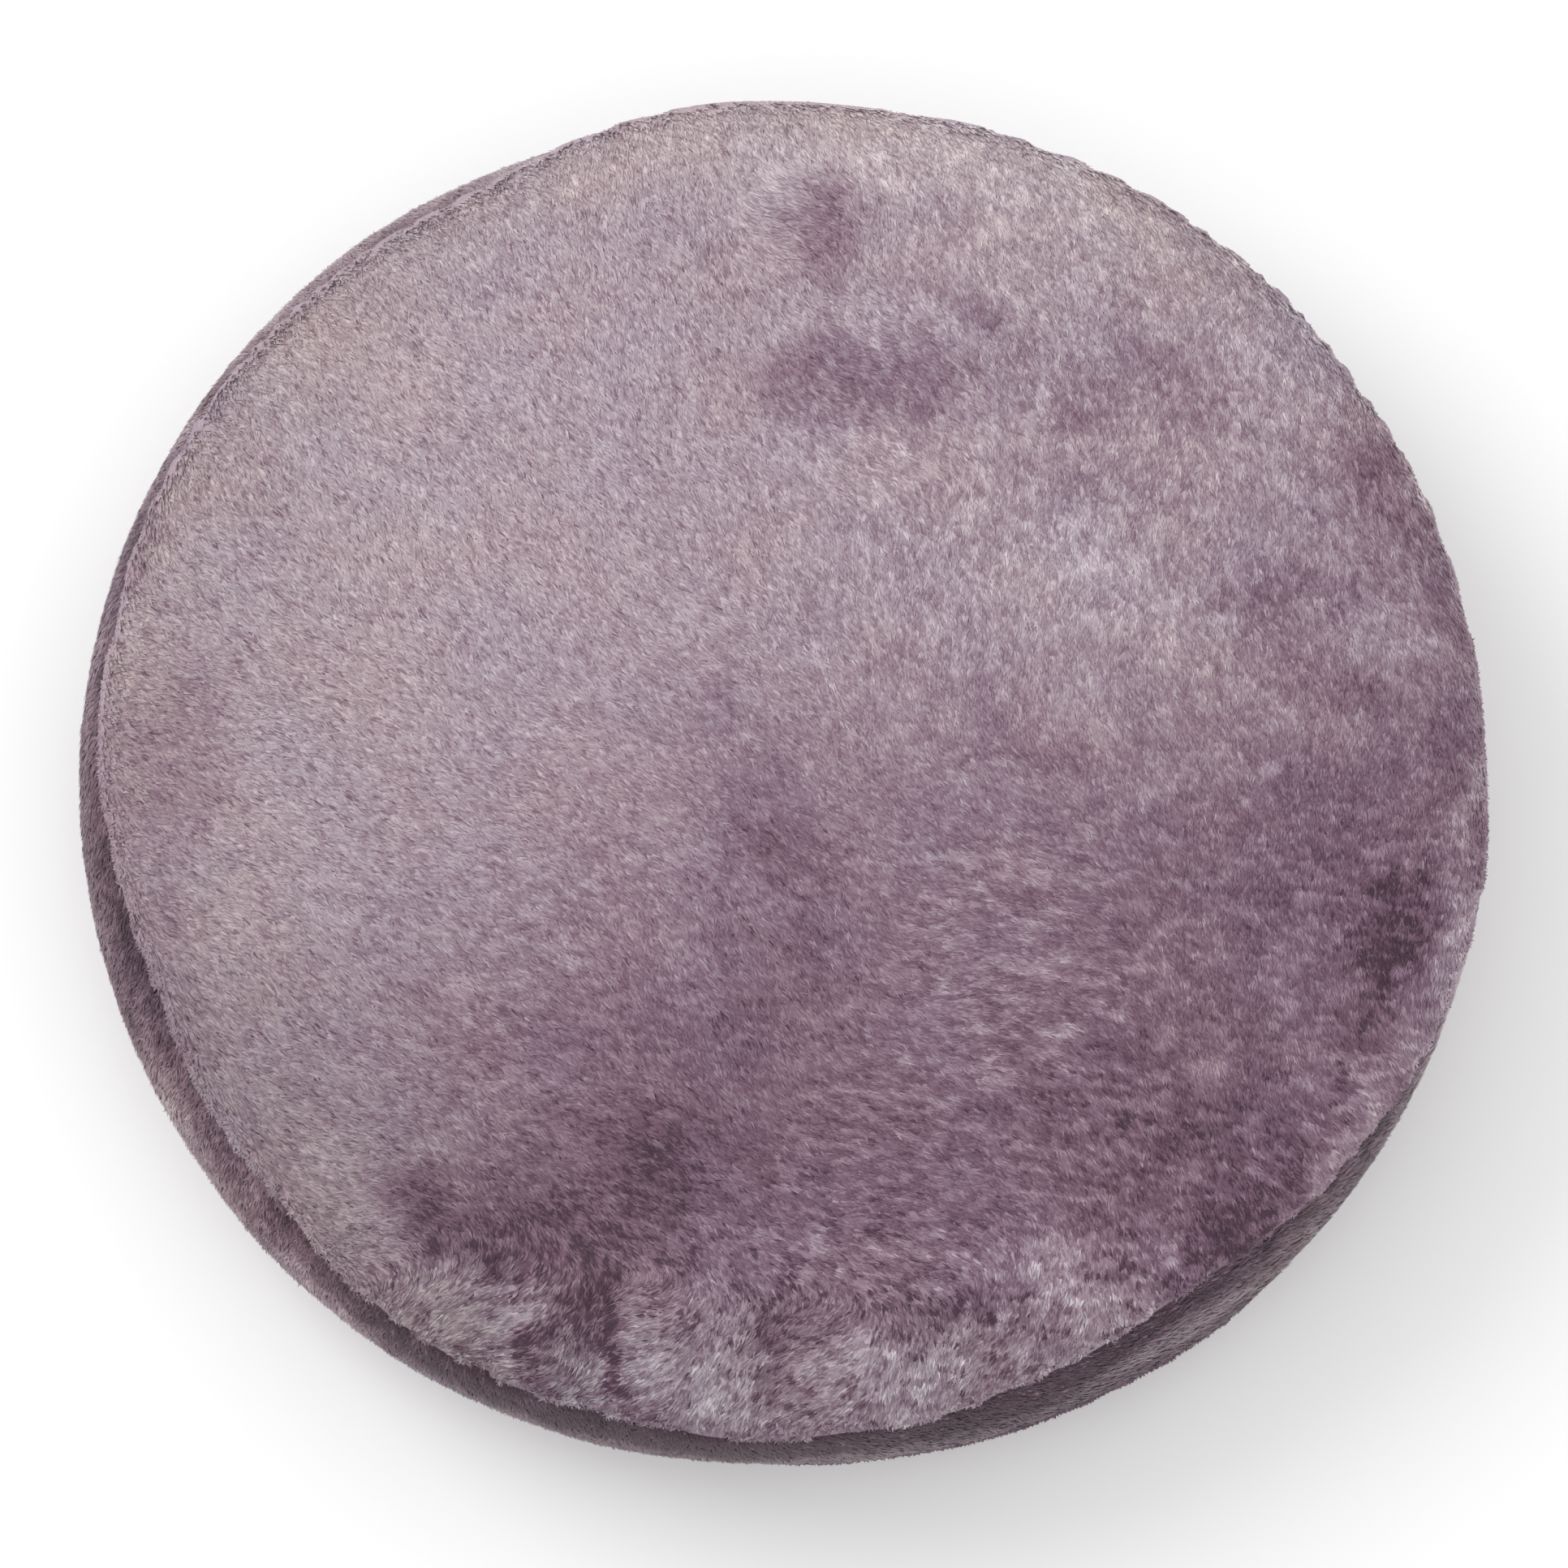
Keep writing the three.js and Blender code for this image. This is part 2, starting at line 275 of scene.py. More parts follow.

# Light and dark brush marks, in millimetres, where the nap lies another way; the sheen and shade that
# this gives are painted into their tone, and the creases, hollows and gaps among them are painted shade.
# The length is along the turn, and the tone is how much paler (above 0) or deeper (below 0) the mark
# is than the panel round it.
BRUSHED = rows_of("at x y length width turn tone", (
    ("pressed spot", 11, 151, 31, 21, 80, -0.56),
    ("tail of the spot", 13, 131, 27, 13, 80, -0.22),
    ("wisp left of the spot", 0, 151, 13, 6, -20, -0.16),
    ("speck left of the spot", -16, 139, 10, 8, 60, -0.20),
    ("first arc", 46, 126, 25, 8, -22, -0.26),
    ("end of the first arc", 57, 121, 16, 10, 75, -0.22),
    ("blotch far right", 43, 153, 20, 13, -20, -0.13),
    ("blotch below the spot", 5, 101, 29, 25, 10, -0.46),
    ("blotch beside it", 32, 102, 43, 22, -8, -0.48),
    ("blotch below it", 28, 90, 34, 10, -12, -0.16),
    ("streak below it", 44, 74, 25, 7, 10, -0.18),
    ("second arc", 82, 105, 38, 15, -30, -0.24),
    ("foot of the second arc", 83, 93, 27, 10, 0, -0.20),
    ("blotch right of the arc", 102, 110, 20, 11, -20, -0.22),
    ("blotch farther right", 114, 97, 32, 20, -50, -0.28),
    ("fleck far right", 97, 124, 20, 8, -10, -0.14),
    ("right of the middle", 78, 70, 20, 13, 20, -0.16),
    ("right of that", 100, 68, 29, 20, -30, -0.14),
    ("left of the middle, far", -26, 70, 20, 13, -30, -0.08),
    ("band of flecks", -90, 30, 29, 13, -30, -0.05),
    ("right rim, far", 166, 75, 34, 16, -48, -0.30),
    ("right, upper", 131, 41, 43, 16, 0, -0.20),
    ("right, inner", 135, 25, 20, 29, 0, -0.14),
    ("right, middle", 154, 15, 20, 16, 20, -0.16),
    ("right, lower", 143, -20, 54, 18, -6, -0.12),
    ("right, low", 152, -38, 43, 29, 10, -0.20),
    ("right, lowest", 166, -56, 46, 22, 70, -0.46),
    ("right, inner low", 109, -25, 34, 11, -10, -0.14),
    ("right of the middle, even", 95, 9, 94, 63, -8, 0.20),
    ("pale patch at the right", 163, 28, 34, 18, 10, 0.30),
    ("pale patch beside it", 182, 23, 25, 13, -30, 0.30),
    ("pale patch below", 146, 4, 38, 13, -16, 0.20),
    ("wisp at the right rim", 188, -20, 29, 10, 80, 0.42),
    ("wisp below it", 174, -29, 20, 9, 30, 0.20),
    ("lower wisp at the rim", 185, -49, 20, 10, 75, 0.36),
    ("pale inner right", 91, 48, 49, 34, -10, 0.16),
    ("pale, lower", 113, 30, 49, 25, -20, 0.12),
    ("middle, far", -17, 6, 22, 13, 80, -0.16),
    ("middle, first", -5, -7, 20, 20, 0, -0.16),
    ("middle, second", -8, -23, 25, 20, 0, -0.20),
    ("middle, third", 0, -33, 31, 16, -22, -0.26),
    ("left of the middle", -35, 3, 29, 13, -10, -0.12),
    ("middle right, first", 59, 6, 25, 18, 0, -0.16),
    ("middle right, second", 58, -6, 31, 13, -10, -0.14),
    ("middle right, third", 77, -6, 27, 13, 10, -0.18),
    ("below the middle", -1, -57, 45, 34, 80, -0.14),
    ("brushed line", 67, -65, 29, 4, 0, 0.30),
    ("brushed line above", 70, -61, 20, 4, -8, 0.20),
    ("curl at the near right", 71, -83, 8, 5, 20, 0.50),
    ("pale dots at the near right", 113, -94, 11, 9, 0, 0.40),
    ("near right", 130, -117, 54, 40, -30, -0.20),
    ("near right, inner", 91, -98, 58, 27, -10, -0.12),
    ("near middle", 21, -117, 72, 36, -6, -0.10),
    ("near left of the middle", -44, -117, 49, 29, -10, -0.22),
    ("purple patch near the middle", -36, -122, 27, 25, 60, -0.12),
    ("swirl", -75, -134, 67, 22, -8, -0.36),
    ("head of the swirl", -103, -131, 13, 25, 15, -0.30),
    ("tail of the swirl", -87, -145, 34, 8, -12, -0.26),
    ("pale left of the swirl", -120, -131, 22, 40, 20, 0.12),
    ("row below the swirl, first", -96, -146, 20, 9, -25, 0.30),
    ("row below the swirl, second", -71, -149, 16, 7, 0, 0.34),
    ("row below the swirl, third", -81, -155, 34, 13, -10, 0.20),
    ("tuft at the first crease", -64, -157, 16, 11, -20, 0.34),
    # painted shade: the creases, with the shade and hollows beside them
    ("first crease", -65, -167, 15, 5, 75, -0.75),
    ("shade right of the crease", -59, -165, 20, 10, 80, -0.36),
    ("between the creases", -49, -159, 22, 18, 60, -0.30),
    ("pale between the creases", -53, -176, 16, 13, 0, 0.10),
    ("second crease", -45, -167, 34, 4, 95, -0.55),
    ("second crease, near", -42, -179, 25, 5, 100, -0.60),
    ("fan beside the crease", -35, -165, 27, 13, -80, 0.40),
    ("first tuft", -17, -174, 27, 22, -60, 0.36),
    ("second tuft", -16, -184, 40, 11, -8, 0.30),
    ("gap between the tufts", 0, -168, 27, 10, 80, -0.34),
    ("small gap", 5, -182, 13, 7, 20, -0.14),
    ("third tuft", 18, -176, 34, 16, -20, 0.26),
    ("fourth tuft", 38, -170, 52, 11, 6, 0.40),
    ("fifth tuft", 40, -182, 49, 13, 8, 0.24),
    ("gap right of the tufts", 54, -161, 34, 8, -6, -0.26),
    ("sixth tuft", 73, -150, 16, 13, 70, 0.40),
    ("tuft at the far end", 75, -165, 27, 13, 30, 0.26),
    ("hollow right of the tufts", 63, -168, 22, 7, 20, -0.20),
    ("seventh tuft", 62, -145, 34, 10, 0, 0.30),
    ("eighth tuft", 94, -155, 25, 10, 35, 0.22),
    ("ninth tuft", 103, -143, 16, 11, 30, 0.40),
    ("tuft at the rim, first", 158, -108, 20, 8, 62, 0.44),
    ("tuft at the rim, second", 147, -124, 25, 8, 52, 0.48),
    ("tuft at the rim, third", 135, -133, 18, 7, 40, 0.45),
    ("tuft at the rim, fourth", 82, -171, 29, 8, 28, 0.26),
    ("hollow at the near right rim", 126, -148, 38, 13, 42, -0.34),
    ("far right rim", 84, 158, 76, 18, -24, 0.10),
    ("left edge", -169, -12, 67, 29, 88, -0.30),
    ("left, even", -152, 38, 110, 44, 85, -0.10),
    ("foot of the swirl, even", -54, -150, 60, 26, 0, -0.14),
    ("left, near, even", -45, -84, 94, 27, 0, -0.14),
    ("near the swirl, even", -29, -122, 49, 45, 0, -0.12),
    ("far right, even", 72, 98, 67, 45, -15, -0.10),
    ("right of the spot", 38, 141, 36, 34, 0, -0.06),
    ("lower left, even", -139, -80, 36, 27, 70, -0.08),
    ("near left rim", -116, -122, 45, 31, 60, 0.12),
    ("near right, even", 93, -120, 67, 36, -20, -0.14),
    ("rim at the near right", 119, -140, 40, 20, 38, -0.34),
    ("hollow inside the right rim", 158, -81, 50, 5, 63, -0.36),
    ("far rim", 28, 178, 130, 44, -8, 0.24),
    ("far rim, left of the middle", -52, 172, 80, 40, 16, 0.10),
    ("rim at the near left", -92, -160, 92, 26, -30, 0.14),
    ("rim at the left", -170, -68, 52, 24, 112, -0.26),
    ("left rim, middle", -182, -5, 42, 14, 90, -0.14),
    ("left rim, upper", -181, 56, 50, 10, 73, -0.30),
    ("right rim, middle", 183, 0, 32, 9, 90, -0.22),
    ("right rim, outermost", 182, 66, 54, 8, 110, 0.45),
    ("pale rim at the right", 181, -70, 48, 12, 68, 0.45),
    ("right rim, upper", 172, 62, 50, 16, 110, -0.14),
))


# The panel is painted in shade that deepens from the far left to the near right, and the marks' edges are
# ragged
SHADE_FALL = {"x": 4.5, "y": -9.0, "middle": 0.20, "steep": 1.6, "tone": 0.40, "half": 0.24}
RAGGED = rows_of("by size seeds", (
    (0.0040, 0.0120, (51, 53)),
    (0.0022, 0.0045, (52, 54)),
))
MARK = {"strength": 0.6, "fall": 0.8, "edge": 1.4}  # how strong the marks are, and how their edges fade


def brushed_and_shaded_tone(x, y):
    """How pale the top panel is, from 0 deep to 1 pale, before its fine mottling: painted shade that
    deepens towards the near right, and the brush marks.
    """
    slope = SHADE_FALL["x"] * x + SHADE_FALL["y"] * y - SHADE_FALL["middle"]
    tone = SHADE_FALL["tone"] - SHADE_FALL["half"] * np.tanh(slope * SHADE_FALL["steep"])
    flat = np.stack([x, y, 0.0 * x], axis=1)
    for ragged in RAGGED:
        x = x + ragged["by"] * soft_noise(flat, ragged["size"], ragged["seeds"][0])
        y = y + ragged["by"] * soft_noise(flat, ragged["size"], ragged["seeds"][1])
    for mark in BRUSHED:
        turn = math.radians(mark["turn"])
        east, north = x - mark["x"] / 1000, y - mark["y"] / 1000
        along = (east * math.cos(turn) + north * math.sin(turn)) / (mark["length"] / 2000)
        across = (north * math.cos(turn) - east * math.sin(turn)) / (mark["width"] / 2000)
        share = np.exp(-MARK["fall"] * (along**2 + across**2) ** MARK["edge"])
        tone = tone + MARK["strength"] * mark["tone"] * share
    return tone


PLAIN_NAP = {"weight": 0.15, "turn": -50, "lie": 0.6, "ruffle": 0.6}  # away from every mark
FULL_REACH = 50.0  # a mark that reaches this far has a weight of 1, and a smaller one has more


def nap_field(x, y):
    """The way the strands of the top panel point, how flat they lie, and how ruffled they are."""
    east, north, lie, ruffle, total = (0.0 * x for _ in range(5))
    for mark in [PLAIN_NAP, *NAP]:
        weight = mark.get("weight")
        if weight is None:
            far = (x - mark["x"] / 1000) ** 2 + (y - mark["y"] / 1000) ** 2
            weight = (FULL_REACH / mark["reach"]) ** 1.5 * np.exp(-far / (mark["reach"] / 1000) ** 2)
        east = east + weight * math.cos(math.radians(mark["turn"]))
        north = north + weight * math.sin(math.radians(mark["turn"]))
        lie = lie + weight * mark["lie"]
        ruffle = ruffle + weight * mark["ruffle"]
        total = total + weight
    return np.arctan2(north, east), lie / total, ruffle / total


# One strand, modelled once and then copied to every root: a leaf of two faces that is pointed at
# both ends and widest a little below the middle, where it also bends
STRAND_KNEE = 0.46
SUNK = 0.0003  # how deep a strand is rooted
bpy.ops.object.select_all(action="DESELECT")
bpy.ops.mesh.primitive_circle_add(vertices=4, radius=0.5, fill_type="NGON")
strand = bpy.context.object
bpy.ops.object.mode_set(mode="EDIT")
bpy.ops.mesh.select_all(action="SELECT")
bpy.ops.transform.translate(value=(0, 0.5, 0))
bpy.ops.transform.resize(value=(1, 8, 1), center_override=(0, 0, 0))
bpy.ops.mesh.quads_convert_to_tris(quad_method="SHORTEST_DIAGONAL")
bpy.ops.transform.resize(value=(1, 0.125, 1), center_override=(0, 0, 0))
bpy.ops.object.mode_set(mode="OBJECT")
for point in strand.data.vertices:
    point.select = abs(point.co.x) > 0.1
bpy.ops.object.mode_set(mode="EDIT")
bpy.ops.transform.translate(value=(0, STRAND_KNEE - 0.5, 0))
bpy.ops.object.mode_set(mode="OBJECT")
LEAF = np.array([tuple(v.co) for v in strand.data.vertices])
LEAF_FACES = np.array([tuple(f.vertices) for f in strand.data.polygons])
bpy.data.meshes.remove(strand.data)


def roots_between(low, high, count, rng):
    """Points spread evenly over the cloth between two heights, with their normals."""
    mesh = cover.data
    mesh.calc_loop_triangles()
    corners = np.empty(len(mesh.loop_triangles) * 3, dtype=np.int64)
    mesh.loop_triangles.foreach_get("vertices", corners)
    corners = corners.reshape(-1, 3)
    points, normals = places(mesh), outward(mesh)
    middle = points[corners].mean(axis=1)[:, 2]
    corners = corners[(middle > low) & (middle <= high)]
    a, b, c = (points[corners[:, k]] for k in range(3))
    area = np.linalg.norm(np.cross(b - a, c - a), axis=1)
    ends = np.cumsum(area)
    spread = (np.arange(count) + rng.uniform(size=count)) / count * ends[-1]
    face = np.minimum(np.searchsorted(ends, spread), len(corners) - 1)
    u, v = rng.uniform(size=(2, count))
    over = u + v > 1.0
    u, v = np.where(over, 1.0 - u, u), np.where(over, 1.0 - v, v)
    share = np.stack([1.0 - u - v, u, v], axis=1)[:, :, None]
    at = (points[corners[face]] * share).sum(axis=1)
    up = (normals[corners[face]] * share).sum(axis=1)
    return at, up / np.linalg.norm(up, axis=1, keepdims=True)


# How unlike each other the strands are: how far they roll, how far their tips stray sideways, and
# the shortest and longest, and narrowest and widest of them
UNLIKE = {"roll": 0.25, "stray": 0.10, "stray_at_tip": 3.4, "length": (0.8, 1.12), "width": (0.75, 1.25)}
ON_FLOOR = 0.0003  # no strand reaches lower
ROUND_FIBRE = {"strand": 0.3, "panel": 0.8, "tilt": 0.18}  # what the light sees a strand's faces as


def lay_strands(name, at, up, lean, rises, size, shades, rng, material):
    """One piece of pile: a bent strand on every root, with a cell of its own in the UV map."""
    (root_rise, tip_rise), (length, width) = rises, size
    count = len(at)
    lean = lean - up * (lean * up).sum(axis=1, keepdims=True)
    lean /= np.maximum(np.linalg.norm(lean, axis=1, keepdims=True), 1e-9)
    side = np.cross(lean, up)
    roll = rng.normal(0.0, UNLIKE["roll"], count)[:, None]
    turned = side * np.cos(roll) + up * np.sin(roll)
    first = lean * np.cos(root_rise)[:, None] + up * np.sin(root_rise)[:, None]
    second = lean * np.cos(tip_rise)[:, None] + up * np.sin(tip_rise)[:, None]
    astray = side * (rng.normal(0.0, UNLIKE["stray"], count) * length)[:, None] * UNLIKE["stray_at_tip"]
    points = []
    for east, share, _ in LEAF:
        below, above = min(share, STRAND_KNEE), max(share - STRAND_KNEE, 0.0)
        point = at + first * (length * below)[:, None] + second * (length * above)[:, None]
        points.append(point + turned * (width * east)[:, None] + astray * above**2)
    points = np.stack(points, axis=1) - up[:, None, :] * SUNK
    points[:, :, 2] = np.maximum(points[:, :, 2], ON_FLOOR)

    mesh = bpy.data.meshes.new(name)
    mesh.vertices.add(count * 4)
    mesh.vertices.foreach_set("co", points.ravel())
    loops = (np.arange(count) * 4)[:, None] + LEAF_FACES.ravel()
    mesh.loops.add(count * 6)
    mesh.loops.foreach_set("vertex_index", loops.ravel())
    mesh.polygons.add(count * 2)
    mesh.polygons.foreach_set("loop_start", np.arange(count * 2) * 3)
    mesh.update(calc_edges=True)
    mesh.shade_smooth()

    # Each strand has a cell of its own in the OFBake UV map
    across = math.ceil(math.sqrt(count))
    cell = np.stack([np.arange(count) % across, np.arange(count) // across], axis=1)[:, None, :]
    corner = (0.5 + 0.44 * (LEAF[:, :2] * [2, 2] - [0, 1]) @ [[1, -1], [1, 1]])[LEAF_FACES.ravel()]
    chart = mesh.uv_layers.new(name="OFBake")
    chart.uv.foreach_set("vector", ((cell + corner) / across).ravel())

    kept = {"along": np.tile(LEAF[:, 1], count), "across": np.tile(LEAF[:, 0] * 2.0, count)}
    for key, values in {**shades, "strand": rng.uniform(size=count)}.items():
        kept[key] = np.repeat(values, 4)
    for key, values in kept.items():
        mesh.attributes.new(key, "FLOAT", "POINT").data.foreach_set("value", values)

    # Fibres are round, so light falls on a strand partly as on the panel it lies on
    low = up * np.cos(root_rise)[:, None] - lean * np.sin(root_rise)[:, None]
    high = up * np.cos(tip_rise)[:, None] - lean * np.sin(tip_rise)[:, None]
    tilt = side * np.sin(roll)
    faced = np.stack([low * (1.0 - share) + high * share for share in LEAF[:, 1]], axis=1)
    faced = faced * ROUND_FIBRE["strand"] + up[:, None, :] * ROUND_FIBRE["panel"]
    faced = faced - tilt[:, None, :] * ROUND_FIBRE["tilt"]
    faced /= np.linalg.norm(faced, axis=2, keepdims=True)
    mesh.normals_split_custom_set_from_vertices(faced.reshape(-1, 3))

    made = bpy.data.objects.new(name, mesh)
    bpy.context.scene.collection.objects.link(made)
    mesh.materials.append(material)
    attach(made, "root")
    return made


# The look that all the pile shares: each strand is painted paler at its root and deeper at its tip,
# painted light against the shade that the strands over it cast on its root. Each has its own shade,
# and the dye drifts a little from warm to cool across the cloth.
strand_look = bpy.data.node_groups.new("plush strand", "ShaderNodeTree")
STRAND_INPUTS = ("Tone", "Frost", "Faded", "Warmed", "Along", "Across", "Strand")
for socket in STRAND_INPUTS:
    strand_look.interface.new_socket(socket, in_out="INPUT", socket_type="NodeSocketFloat")
strand_look.interface.new_socket("Place", in_out="INPUT", socket_type="NodeSocketVector")
strand_look.interface.new_socket("Color", in_out="OUTPUT", socket_type="NodeSocketColor")
enters = strand_look.nodes.new("NodeGroupInput")
leaves = strand_look.nodes.new("NodeGroupOutput")


def maths(kind, *values):
    """One step of arithmetic in the strand's look, on numbers and on other steps."""
    made = add_node(strand_look, "ShaderNodeMath", operation=kind)
    for socket, value in zip(made.inputs, values):
        if isinstance(value, (int, float)):
            socket.default_value = value
        else:
            strand_look.links.new(value, socket)
    return made.outputs["Value"]


gives = enters.outputs
middle = maths("SUBTRACT", 1.0, maths("MULTIPLY", gives["Across"], gives["Across"]))
own_shade = maths("MULTIPLY", maths("MULTIPLY_ADD", gives["Strand"], 0.24, -0.12), middle)
shade = maths("ADD", gives["Tone"], own_shade)
# painted light: the root is painted paler and the tip deeper, against the pile's shade on the roots
shade = maths("ADD", shade, maths("MULTIPLY_ADD", gives["Along"], -0.20, 0.10))
fibres = maths("SINE", maths("MULTIPLY_ADD", gives["Across"], 7.0, gives["Strand"]))
shade = maths("ADD", shade, maths("MULTIPLY", fibres, 0.02))
shade = maths("MULTIPLY_ADD", maths("MULTIPLY", gives["Along"], gives["Along"]), gives["Frost"], shade)
shade = maths("MULTIPLY_ADD", shade, 0.8, 0.14)
dyed = ramp(strand_look, shade, [
    (0.00, (0.050, 0.021, 0.037)),
    (0.07, (0.112, 0.056, 0.087)),
    (0.20, (0.157, 0.085, 0.127)),
    (0.40, (0.249, 0.163, 0.212)),
    (0.60, (0.362, 0.281, 0.326)),
    (0.80, (0.510, 0.427, 0.462)),
    (1.00, (0.695, 0.618, 0.642)),
])
drift = add_node(strand_look, "ShaderNodeTexNoise")
drift.inputs["Scale"].default_value = 32.0
drift.inputs["Detail"].default_value = 3.0
strand_look.links.new(gives["Place"], drift.inputs["Vector"])
warmth = ramp(strand_look, drift.outputs["Fac"], [(0.35, (0.98, 0.99, 1.02)), (0.65, (1.02, 1.0, 0.98))])
tinted = add_node(strand_look, "ShaderNodeMix", data_type="RGBA", blend_type="MULTIPLY")
tinted.inputs["Factor"].default_value = 1.0
strand_look.links.new(dyed.outputs["Color"], tinted.inputs["A"])
strand_look.links.new(warmth.outputs["Color"], tinted.inputs["B"])
fade = add_node(strand_look, "ShaderNodeHueSaturation")
strand_look.links.new(maths("MULTIPLY_ADD", gives["Faded"], -0.7, 1.0), fade.inputs["Saturation"])
strand_look.links.new(tinted.outputs["Result"], fade.inputs["Color"])
yellowed = add_node(strand_look, "ShaderNodeMix", data_type="RGBA", blend_type="MULTIPLY")
strand_look.links.new(gives["Warmed"], yellowed.inputs["Factor"])
strand_look.links.new(fade.outputs["Color"], yellowed.inputs["A"])
yellowed.inputs["B"].default_value = (1.0, 0.99, 0.90, 1)
strand_look.links.new(yellowed.outputs["Result"], leaves.inputs["Color"])


def plush_material(name, roughness, sheen):
    """A material of pile, with its own gloss."""
    made, shader = new_material(name)
    tree = made.node_tree
    look = add_node(tree, "ShaderNodeGroup", node_tree=strand_look)
    for key in STRAND_INPUTS:
        value = add_node(tree, "ShaderNodeAttribute", attribute_name=key.lower())
        tree.links.new(value.outputs["Fac"], look.inputs[key])
    where = add_node(tree, "ShaderNodeTexCoord")
    tree.links.new(where.outputs["Object"], look.inputs["Place"])
    tree.links.new(look.outputs["Color"], shader.inputs["Base Color"])
    shader.inputs["Roughness"].default_value = roughness
    shader.inputs["Specular IOR Level"].default_value = 0.35
    shader.inputs["Sheen Weight"].default_value = sheen
    shader.inputs["Sheen Roughness"].default_value = 0.45
    return made


top_plush = plush_material("plush_top", 0.62, 0.25)

# The cloth between the strands is deep mauve and browner along the seams; on top it takes the panel's
# tone, painted paler to make up for the shade the pile casts on it
ground, ground_shader = new_material("plush_ground")
tree = ground.node_tree
where = add_node(tree, "ShaderNodeTexCoord")
weave = add_node(tree, "ShaderNodeTexNoise")
weave.inputs["Scale"].default_value = 900.0
weave.inputs["Detail"].default_value = 3.0
tree.links.new(where.outputs["Object"], weave.inputs["Vector"])
look = add_node(tree, "ShaderNodeGroup", node_tree=strand_look)
look.inputs["Along"].default_value = 0.5
tree.links.new(where.outputs["Object"], look.inputs["Place"])
tree.links.new(weave.outputs["Fac"], look.inputs["Strand"])
panel_tone = add_node(tree, "ShaderNodeAttribute", attribute_name="tone")
tree.links.new(panel_tone.outputs["Fac"], look.inputs["Tone"])
stitched = add_node(tree, "ShaderNodeAttribute", attribute_name="seam")
seam_mix = add_node(tree, "ShaderNodeMix", data_type="RGBA")
tree.links.new(stitched.outputs["Fac"], seam_mix.inputs["Factor"])
tree.links.new(look.outputs["Color"], seam_mix.inputs["A"])
seam_mix.inputs["B"].default_value = (0.130, 0.100, 0.085, 1)
tree.links.new(seam_mix.outputs["Result"], ground_shader.inputs["Base Color"])
nubs = add_node(tree, "ShaderNodeBump")
nubs.inputs["Strength"].default_value = 0.6
nubs.inputs["Distance"].default_value = 0.0008
tree.links.new(weave.outputs["Fac"], nubs.inputs["Height"])
tree.links.new(nubs.outputs["Normal"], ground_shader.inputs["Normal"])
ground_shader.inputs["Roughness"].default_value = 0.9
ground_shader.inputs["Specular IOR Level"].default_value = 0.2
cover.data.materials.clear()
cover.data.materials.append(ground)
cloth = places(cover.data)
# painted light: the cloth is painted paler on top, against the shade the pile casts on it
GROUND = {"band": 0.26, "below": 0.12, "painted_light_on_top": 0.24}  # the last is how much paler it is on top
on_top = (cloth[:, 2] > TOP_FROM) * (0.5 + 0.5 * rising(outward(cover.data)[:, 2], 0.84, 0.96))
cloth_tone = np.where(cloth[:, 2] > LOWER_SEAM["height"], GROUND["band"], GROUND["below"])
panel = brushed_and_shaded_tone(cloth[:, 0], cloth[:, 1]) + GROUND["painted_light_on_top"]
cloth_tone = cloth_tone + (panel - cloth_tone) * on_top
cover.data.attributes.new("tone", "FLOAT", "POINT").data.foreach_set("value", cloth_tone)

# Mottling: how broad its lumps are, how much it shows where the pile is combed, and how much more
# where it is ruffled. The sway and the wander are in the way the strands point, the rest in tone.
SWAY = {"size": 0.0180, "seed": 5, "combed": 0.14, "ruffled": 0.00}
WANDER = {"size": 0.0040, "seed": 6, "combed": 0.05, "ruffled": 0.17}
SPECKS = {"size": 0.0010, "seed": 10, "combed": 0.04, "ruffled": 0.08}
CLUMPS = {"combed": 0.02, "ruffled": 0.19}
LOCKS = {"broad": 0.08, "fine": 0.13, "paler": 0.06, "gaps": 0.26}  # at the near edge
DASHES = 0.17  # how deep the fine dashes are in the combed pile
STRAYS = {"share": 0.13, "deeper": 0.56}  # single strands painted deep, as painted shade among the strands
FADED = {"left": 0.14, "near": 0.20, "near_rim": 0.36, "near_left": 0.26}  # where the colour is greyer, most of all on the pale strands
YELLOWED = {"left": 0.26, "rim": 0.50}
TOP_ROLL = {"from": 0.90, "to": 0.40}  # how far up the cloth faces where the pile turns over the edge
TOP_RISE = {"root": 22, "tip": 11, "lying": 10, "spread": 3.0}  # how steeply a strand rises, in degrees
HANGING = {"astray": 0.55, "crossing": 0.9, "down": 0.6}  # how the strands at the edge point
# how deep the painted shade is on the strands over the edge, and under it
EDGE_SHADE = {"left": 0.18, "far_left": 0.28, "under": 0.08, "near": 0.34}  # how deep they look
HANG = 0.001  # how far the panel's pile starts below the middle of the seam


def mottle(points, kind, ruffle):
    """One kind of mottling, stronger where the pile is ruffled."""
    return (kind["combed"] + kind["ruffled"] * ruffle) * soft_noise(points, kind["size"], kind["seed"])


def drawn_out(x, y, way, squeeze):
    """Points for lumps that are drawn out: the panel's plane, turned a way and squeezed on its axes."""
    along, across = x * way[0] + y * way[1], y * way[0] - x * way[1]
    return np.stack([along * squeeze[0], across * squeeze[1], 0.0 * x], axis=1)


def tufts_at(x, y):
    """The small tufts: they run down the panel at the far side, and across it at the near side."""
    crosswise = rising(y, 0.035, -0.045)
    down = soft_noise(drawn_out(x, y, (0.98, 0.17), (1.0, 0.42)), 0.0011, 8)
    sideways = soft_noise(drawn_out(x, y, (0.99, -0.12), (0.34, 1.0)), 0.0012, 9)
    return (1.0 - crosswise) * down + crosswise * sideways


